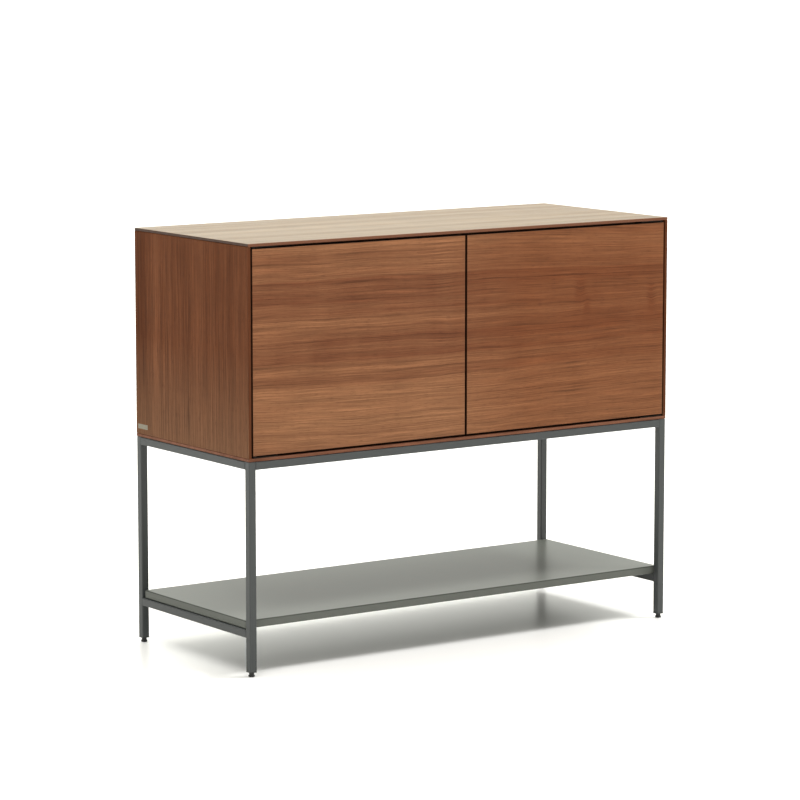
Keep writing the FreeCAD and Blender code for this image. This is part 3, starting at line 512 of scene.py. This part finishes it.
# %% The sides: upright grain
SIDE_FACE = 0.4875
side_bands = [
    (-0.21, 0.28),
    (-0.17, 0.36),
    (-0.13, 0.28),
    (-0.08, 0.34),
    (-0.03, 0.50),
    (0.03, 0.30),
    (0.09, 0.38),
    (0.125, 0.62),
    (0.142, 0.62),
    (0.153, 0.20),
    (0.21, 0.12),
]
side_veneer = veneer(
    "side_walnut",
    "ZYX",
    dark=(0.084, 0.027, 0.011),
    light=(0.173, 0.065, 0.030),
    bands=side_bands,
    seed=21.0,
    face=-SIDE_FACE,
    drift=0.012,
    ring=0.8,
    fine=1.4,
    figure=0.35,
    edges=[("Y", (0.060, 0.019, 0.008), (0.130, 0.046, 0.021))],
    # Painted light: the wash makes the wood paler towards the floor, standing for light
    # from the white paper below.
    tones_and_painted_light=[("Z", 0.60, 0.41, 0.60, (0.183, 0.098, 0.055))],
    Specular_IOR_Level=0.02,
)

# %% [markdown]
# The underside has level grain like the doors, with hardly any bands, because
# only its thin front and left edges are seen.

# %% The underside
under_veneer = veneer(
    "under_walnut",
    "XZY",
    dark=(0.100, 0.036, 0.019),
    light=(0.225, 0.096, 0.056),
    bands=[(0.38, 0.5), (0.42, 0.5)],
    seed=33.0,
    face=DOOR_FACE,
    drift=0.02,
    Specular_IOR_Level=0.08,
)

# %% [markdown]
# The top is a lighter leaf with the grain lengthwise, under a satin lacquer.
# A pale colour alone would look chalky from above. So the leaf stays brown,
# and the lacquer throws the studio light back at a low angle, which is what
# makes the real top look pale from the front. Its front and back edges are
# lipped in the dark leaf. Its end edges are painted near black, as painted
# shade for the dark line where the top meets the sides.

# %% The top: lengthwise grain
TOP_FACE = 0.8
top_bands = [
    (-0.21, 0.70),
    (-0.17, 0.30),
    (-0.13, 0.72),
    (-0.09, 0.15),
    (-0.06, 0.80),
    (-0.02, 0.45),
    (0.02, 0.85),
    (0.06, 0.15),
    (0.09, 0.70),
    (0.13, 0.25),
    (0.17, 0.65),
    (0.21, 0.30),
]
top_veneer = veneer(
    "top_walnut",
    "XYZ",
    dark=(0.138, 0.080, 0.031),
    light=(0.190, 0.115, 0.047),
    bands=top_bands,
    seed=40.0,
    face=TOP_FACE,
    drift=0.04,
    ring=1.8,
    fine=1.3,
    figure=0.9,
    gloss=0.325,
    dull=0.10,
    edges=[
        # Painted shade: the end edges are near black, for the dark line where the top
        # meets the sides.
        ("X", (0.028, 0.008, 0.002), (0.052, 0.016, 0.004)),
        ("Y", (0.110, 0.034, 0.014), (0.170, 0.062, 0.028)),
    ],
    Specular_IOR_Level=0.25,
)

# %% [markdown]
# The boards inside are the same walnut, oiled only. One finish could dress
# them all, but then the grain would run across some of them, and a joiner
# always cuts a board with the grain along it. So there are three: level on
# the back, upright on the liners beside the doors and on the divider,
# lengthwise on the lids and the shelves.

# %% The boards inside
inner_bands = [(-1.0, 0.5), (0.0, 0.45), (1.0, 0.5)]
inner_looks = {
    "dark": (0.060, 0.022, 0.010),
    "light": (0.170, 0.072, 0.034),
    "bands": inner_bands,
    "drift": 0.03,
    "figure": 0.3,
    "Specular_IOR_Level": 0.15,
}
back_veneer = veneer("inner_walnut_back", "XZY", seed=60.0, **inner_looks)
upright_veneer = veneer("inner_walnut_upright", "ZYX", seed=63.0, **inner_looks)
level_veneer = veneer("inner_walnut_level", "XYZ", seed=66.0, **inner_looks)

# %% [markdown]
# Powder coat is paint baked on as dust. It is even in colour, with a fine
# orange-peel surface that spreads reflections. Noise on the roughness would
# show as blotches on a sheet this wide, so the roughness is one number, and
# the peel is a relief. The frame has a dark grey-green coat, the shelf a
# lighter sage one.
#
# A thin dark line is painted along the top of the shelf's rims: painted
# shade, for the shadow in the crease of the fold. It lies on the upright faces
# only, in the uppermost two millimetres.

# %% Powder coats
PEEL_RANGE = (0.35, 0.65)
SPECK_COVER = 0.5
PEEL_STRENGTH = 0.3
FOLD_WIDTH = 0.002
FOLD_SHADE = 0.5
RIM_FACING = 0.85


def speckle(tree, place, rates, detail):
    x, y, z = (calc(tree, "MULTIPLY", place[axis], rates[axis]) for axis in "XYZ")
    return noise(tree, x, y, z, detail)


# Painted shade: a dark line along the top of the upright faces of the shelf's rims.
def paint_fold_shade(tree, place, film, colour, fold):
    facing = split(tree, add(tree, "TexCoord", output="Normal"))
    flatness = calc(tree, "ABSOLUTE", facing["Z"])
    upright = calc(tree, "LESS_THAN", flatness, RIM_FACING)
    near_fold = calc(tree, "GREATER_THAN", place["Z"], fold - FOLD_WIDTH)
    on_painted_shade = calc(tree, "MULTIPLY", upright, near_fold)
    return blend(tree, on_painted_shade, film, scaled(colour, FOLD_SHADE))


def powder_coat(name, colour, speck, roughness, grain, depth, shine=0.5, fold=None):
    finish, tree, shader, place = new_finish(
        name, Roughness=roughness, Specular_IOR_Level=shine
    )
    peel = speckle(tree, place, dict.fromkeys("XYZ", grain), detail=1.0)
    tint = remap(tree, peel, *PEEL_RANGE)
    film = blend(tree, calc(tree, "MULTIPLY", tint, SPECK_COVER), colour, speck)
    if fold:
        film = paint_fold_shade(tree, place, film, colour, fold)
    plug(tree, film, shader, "Base Color")
    bump(tree, peel, shader, PEEL_STRENGTH, depth)
    print("powder coat", name, "with roughness", roughness)
    return finish


frame_coat = powder_coat(
    "frame_coat",
    colour=(0.0365, 0.0405, 0.041),
    speck=(0.0465, 0.0515, 0.051),
    roughness=0.48,
    grain=900.0,
    depth=0.00006,
)
shelf_coat = powder_coat(
    "shelf_coat",
    colour=(0.117, 0.123, 0.110),
    speck=(0.128, 0.134, 0.121),
    roughness=0.285,
    grain=800.0,
    depth=0.00001,
    shine=0.06,
    fold=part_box("lower_shelf")[1].z,
)

# %% [markdown]
# Hardware metal is zinc plate, and the plate on the side is brushed along its
# length. Real scratches could be cut as relief, but at this size they only
# show as a change of gloss. So fine scratches vary the roughness a lot and
# the colour only a little, and brushing draws them out along one axis.

# %% Plain metals
SCRATCH_RATE = 900.0
SCRATCH_RANGE = (0.3, 0.7)
SCRATCH_SHADE = 0.8
SCRATCH_STRENGTH = 0.15
SCRATCH_DEPTH = 0.00003


def bare_metal(name, colour, roughness, along="X", stretch=1.0):
    finish, tree, shader, place = new_finish(name, Metallic=1.0)
    rates = dict.fromkeys("XYZ", SCRATCH_RATE)
    rates[along] /= stretch
    scratch = speckle(tree, place, rates, detail=3.0)
    worn = remap(tree, scratch, *SCRATCH_RANGE, roughness - 0.08, roughness + 0.1)
    plug(tree, worn, shader, "Roughness")
    share = remap(tree, scratch, *SCRATCH_RANGE)
    film = blend(tree, share, scaled(colour, SCRATCH_SHADE), colour)
    plug(tree, film, shader, "Base Color")
    bump(tree, scratch, shader, SCRATCH_STRENGTH, SCRATCH_DEPTH)
    print("metal", name, "with scratches drawn out", stretch, "times")
    return finish


zinc = bare_metal("zinc_plate", (0.58, 0.58, 0.55), 0.34)
plate_metal = bare_metal(
    "plate_metal", (0.21, 0.19, 0.145), 0.30, along="Y", stretch=30.0
)

# %% [markdown]
# Moulded plastic and blackened screws are dark with a fine matt skin. They
# are small and mostly hidden, so one plain pattern serves all three. The
# beech of the dowels is plain pale wood with a few flecks, and the veneer
# above makes it with two pale colours.

# %% Plastics, black steel and beech
SKIN_TINT_RANGE = (0.35, 0.65)
SKIN_WEAR_RANGE = (0.3, 0.7)
SKIN_PALER = 1.5
SKIN_STRENGTH = 0.25
SKIN_DEPTH = 0.00005


def dark_skin(name, colour, roughness, grain, shine=0.5):
    finish, tree, shader, place = new_finish(name, Specular_IOR_Level=shine)
    skin = speckle(tree, place, dict.fromkeys("XYZ", grain), detail=2.0)
    share = remap(tree, skin, *SKIN_TINT_RANGE)
    film = blend(tree, share, colour, scaled(colour, SKIN_PALER))
    plug(tree, film, shader, "Base Color")
    worn = remap(tree, skin, *SKIN_WEAR_RANGE, roughness - 0.05, roughness + 0.08)
    plug(tree, worn, shader, "Roughness")
    bump(tree, skin, shader, SKIN_STRENGTH, SKIN_DEPTH)
    print("dark skin", name)
    return finish


black_plastic = dark_skin("black_plastic", (0.012, 0.012, 0.012), 0.5, 1200.0)
latch_plastic = dark_skin("latch_plastic", (0.05, 0.05, 0.052), 0.45, 1000.0)
black_steel = dark_skin("black_steel", (0.012, 0.008, 0.006), 0.5, 1500.0, shine=0.08)
beech = veneer(
    "beech",
    "XZY",
    dark=(0.42, 0.26, 0.14),
    light=(0.62, 0.43, 0.26),
    bands=inner_bands,
    seed=80.0,
)

# %% [markdown]
# Each solid names the material slot it belongs to, so one table hands out
# the finishes, and no solid has to be picked out by hand. A second table
# turns the grain on the boards inside and blackens the screws of the hinges,
# so that nothing glints in the door gaps.

# %% Dress the solids
finish_of_slot = {
    "top_veneer": top_veneer,
    "side_veneer": side_veneer,
    "base_veneer": under_veneer,
    "door_veneer": door_veneer,
    "inner_veneer": back_veneer,
    "beech": beech,
    "frame_coat": frame_coat,
    "shelf_coat": shelf_coat,
    "plate_metal": plate_metal,
    "latch_plastic": latch_plastic,
    "black_steel": black_steel,
    "bright_steel": zinc,
    "black_plastic": black_plastic,
}
finish_of_node = {
    "side_liner_left": upright_veneer,
    "side_liner_right": upright_veneer,
    "centre_divider": upright_veneer,
    "top_liner": level_veneer,
    "bottom_liner": level_veneer,
    "inner_shelf_left": level_veneer,
    "inner_shelf_right": level_veneer,
    "bracket_screws": black_steel,
    "leaf_screws_left": black_steel,
    "leaf_screws_right": black_steel,
}


def dress(solid, finish):
    if not solid.material_slots:
        solid.data.materials.append(finish)
    for slot in solid.material_slots:
        slot.material = finish


subparts = frame["record"]["subparts"]
for entry in subparts:
    node = entry["node"]
    finish = finish_of_node.get(node, finish_of_slot[entry["material_slot"]])
    dress(nodes[node], finish)
print("dressed", len(subparts), "nodes")

# %% [markdown]
# The springs of the push latches are coils of 1 mm wire round the plungers'
# stems. The solids show each one as a plain sleeve at its pressed length, so
# the coil takes its place and its length from that sleeve. The latches are
# mirror images, so the left coil's axis lies at minus the right one's.

# %% Place of the coils
WIRE_RADIUS = 0.0005
COIL_RADIUS = 0.0047
spring_low, spring_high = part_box("latch_springs")
plunger_low, plunger_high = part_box("latch_plunger_right")
axis_x = (plunger_low.x + plunger_high.x) / 2
axis_z = (plunger_low.z + plunger_high.z) / 2
start_y = spring_low.y + WIRE_RADIUS
travel = spring_high.y - spring_low.y - 2 * WIRE_RADIUS
print("coils:", round(travel * 1000, 2), "mm long, axes at x of", round(axis_x, 4), "m")

# %% [markdown]
# A coil could be a curve with a round bevel, or a screw modifier. Here it is
# a small ring of wire that is spun round the axis while it travels along it,
# which is what the spin operator does when it is given a step along the axis.
# It gives a plain mesh at once, with the number of faces given, and the
# two open ends only have to be filled.

# %% Wind the coils
WIRE_SEGMENTS = 8
COIL_TURNS = 11
STEPS_PER_TURN = 24
steps = COIL_TURNS * STEPS_PER_TURN
springs = bmesh.new()
for side in (-1, 1):
    start = Vector((side * axis_x + COIL_RADIUS, start_y, axis_z))
    ring = bmesh.ops.create_circle(
        springs,
        segments=WIRE_SEGMENTS,
        radius=WIRE_RADIUS,
        cap_ends=False,
        matrix=Matrix.Translation(start),
    )
    ring_edges = {edge for vert in ring["verts"] for edge in vert.link_edges}
    bmesh.ops.spin(
        springs,
        geom=list(ring_edges) + ring["verts"],
        cent=(side * axis_x, start_y, axis_z),
        axis=(0, 1, 0),
        dvec=(0, travel / steps, 0),
        angle=COIL_TURNS * math.tau,
        steps=steps,
    )
open_ends = [edge for edge in springs.edges if edge.is_boundary]
bmesh.ops.holes_fill(springs, edges=open_ends)
bmesh.ops.recalc_face_normals(springs, faces=springs.faces)
print("wound", COIL_TURNS, "turns each, in", len(springs.faces), "faces")

# %% [markdown]
# The coils become one piece that stands still with the cabinet and is shown
# in place of the sleeves. A real coil grows and shrinks by the plunger's 3 mm,
# but a mesh that rides on one body keeps its shape, so they stay at the
# pressed length.

# %% Keep the coils as a piece
spring_mesh = bpy.data.meshes.new("latch_coils")
springs.to_mesh(spring_mesh)
springs.free()
coils = bpy.data.objects.new("latch_coils", spring_mesh)
bpy.context.scene.collection.objects.link(coils)
coils.data.materials.append(zinc)
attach(coils, "root")
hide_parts("latch_springs")
print("springs:", len(spring_mesh.polygons), "faces on the fixed body")

# %% [markdown]
# The floor is one wide sheet of plain pale paper. A studio sheet curves up
# behind the object, but from this height the far edge of a flat one is out of
# sight, so a flat round sheet does. It isn't part of the sideboard, so it
# rides on none of its bodies.

# %% Floor
FLOOR_RADIUS = 60.0
FLOOR_SEGMENTS = 64
PAPER_COLOUR = (0.87, 0.855, 0.85, 1.0)
floor_builder = bmesh.new()
bmesh.ops.create_circle(
    floor_builder, cap_ends=True, segments=FLOOR_SEGMENTS, radius=FLOOR_RADIUS
)
floor_mesh = bpy.data.meshes.new("floor")
floor_builder.to_mesh(floor_mesh)
floor_builder.free()
floor = bpy.data.objects.new("floor", floor_mesh)
bpy.context.scene.collection.objects.link(floor)
paper = new_finish(
    "paper", Base_Color=PAPER_COLOUR, Roughness=0.28, Specular_IOR_Level=0.25
)[0]
floor.data.materials.append(paper)
print("floor:", 2 * FLOOR_RADIUS, "m across")

# %% [markdown]
# The light is a white tent with two brighter parts, one panel overhead and one
# high behind the sideboard. The one behind reaches under the shelf, so the
# shadow on the floor grows paler towards the back. Area lamps could stand
# there instead, but they would be mirrored as hard shapes in the lacquer of
# the top, and a glow in the sky fades out softly.
#
# A panel is given by its turn from straight behind and its rise over the
# floor, in degrees, by the cosines at its rim and its core, and by how much
# light it adds.

# %% The tent
TENT_COLOUR = (0.99, 1.0, 0.935, 1.0)
TENT_STRENGTH = 0.6
panels = [
    (0.0, 90.0, 0.75, 0.97, 2.9),
    (28.0, 42.0, 0.80, 0.97, 2.5),
]


def direction(turn, rise):
    flat = math.cos(math.radians(rise))
    x = math.sin(math.radians(turn)) * flat
    y = math.cos(math.radians(turn)) * flat
    return x, y, math.sin(math.radians(rise))


world = bpy.data.worlds.new("white_tent")
world.use_nodes = True
tent = world.node_tree
heading = add(tent, "TexCoord", output="Generated")
strength = TENT_STRENGTH
for turn, rise, rim, core, extra in panels:
    inputs = {0: heading, 1: direction(turn, rise)}
    towards = add(tent, "VectorMath", inputs, output="Value", operation="DOT_PRODUCT")
    inside = {0: towards, 1: rim, 2: core}
    glow = add(tent, "MapRange", inside, interpolation_type="SMOOTHSTEP")
    strength = calc(tent, "MULTIPLY_ADD", glow, extra, strength)
background = tent.nodes["Background"]
plug(tent, strength, background, "Strength")
background.inputs["Color"].default_value = TENT_COLOUR
bpy.context.scene.world = world
print("tent with", len(panels), "brighter panels")

# %% [markdown]
# Two soft lamps in front, one on each side, burn out the paper all round the
# sideboard, and what is left dark is only the part that neither of them can
# see. Each is a sun lamp with a wide angle, which stands for a large soft box
# far away and needs no place. It is given by its aim, its spread in degrees
# and its power.

# %% The lamps
lamps = [
    ("lamp_left", (0.50, 0.30, -1.0), 20.0, 0.65),
    ("lamp_right", (-0.55, 0.30, -1.0), 14.0, 1.50),
]
for name, aim, spread, power in lamps:
    lamp_data = bpy.data.lights.new(name, "SUN")
    lamp_data.energy = power
    lamp_data.angle = math.radians(spread)
    lamp = bpy.data.objects.new(name, lamp_data)
    lamp.rotation_euler = Vector(aim).to_track_quat("-Z", "Y").to_euler()
    bpy.context.scene.collection.objects.link(lamp)
print("lamps:", ", ".join(name for name, *_ in lamps))
